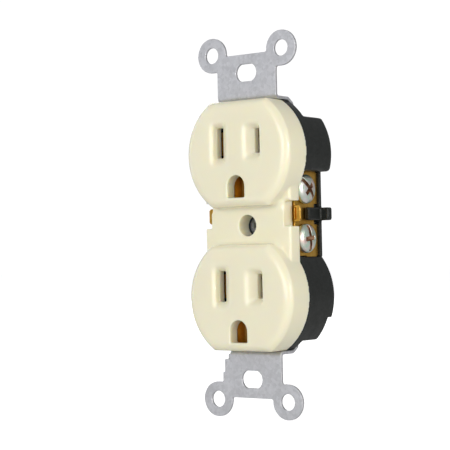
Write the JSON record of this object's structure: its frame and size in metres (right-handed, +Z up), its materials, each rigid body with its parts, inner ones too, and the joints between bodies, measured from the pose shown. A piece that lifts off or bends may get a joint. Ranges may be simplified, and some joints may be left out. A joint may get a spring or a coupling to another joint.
{
  "type": "duplex wall outlet",
  "caption": "Duplex grounded wall outlet: ivory face with two round-sided sockets, black rear base, steel mounting strap with ears, brass bus bars and side terminal screws.",
  "frame": {"origin": "midway between the two mounting holes, on the front surface of the steel strap", "axes": "+X to the right seen from the front, +Y back into the wall, +Z up"},
  "size_m": [0.034, 0.0218, 0.1042],
  "materials": {
    "ivory_plastic": "glossy ivory thermoplastic",
    "black_plastic": "satin black thermoplastic",
    "zinc_steel": "zinc-plated sheet steel",
    "brass": "rolled brass",
    "nickel_screw": "plated steel with a faint sheen of colour",
    "green_screw": "green dyed plating"
  },
  "bodies": {
    "receptacle": {"face_cover": "ivory_plastic", "rear_base": "black_plastic", "mounting_strap": "zinc_steel", "hot_bus": "brass", "neutral_bus": "brass", "contact_rivets": "brass", "ground_rivets": "zinc_steel", "centre_eyelet": "zinc_steel", "assembly_screws": "zinc_steel", "upper_hot_contact": "brass", "upper_neutral_contact": "brass", "upper_ground_contact": "brass", "lower_hot_contact": "brass", "lower_neutral_contact": "brass", "lower_ground_contact": "brass"},
    "upper_hot_screw": {"upper_hot_screw": "nickel_screw"},
    "upper_neutral_screw": {"upper_neutral_screw": "nickel_screw"},
    "lower_hot_screw": {"lower_hot_screw": "nickel_screw"},
    "lower_neutral_screw": {"lower_neutral_screw": "nickel_screw"},
    "ground_screw": {"ground_screw": "green_screw"}
  },
  "joints": [
    {"name": "upper_hot_screw_travel", "type": "slide", "parent": "receptacle", "child": "upper_hot_screw", "axis": [1, 0, 0], "range_m": [-0.0002, 0.003]},
    {"name": "upper_neutral_screw_travel", "type": "slide", "parent": "receptacle", "child": "upper_neutral_screw", "axis": [-1, 0, 0], "range_m": [-0.0002, 0.003]},
    {"name": "lower_hot_screw_travel", "type": "slide", "parent": "receptacle", "child": "lower_hot_screw", "axis": [1, 0, 0], "range_m": [-0.0002, 0.003]},
    {"name": "lower_neutral_screw_travel", "type": "slide", "parent": "receptacle", "child": "lower_neutral_screw", "axis": [-1, 0, 0], "range_m": [-0.0002, 0.003]},
    {"name": "ground_screw_travel", "type": "slide", "parent": "receptacle", "child": "ground_screw", "axis": [-1, 0, 0], "range_m": [-0.0002, 0.003]}
  ]
}
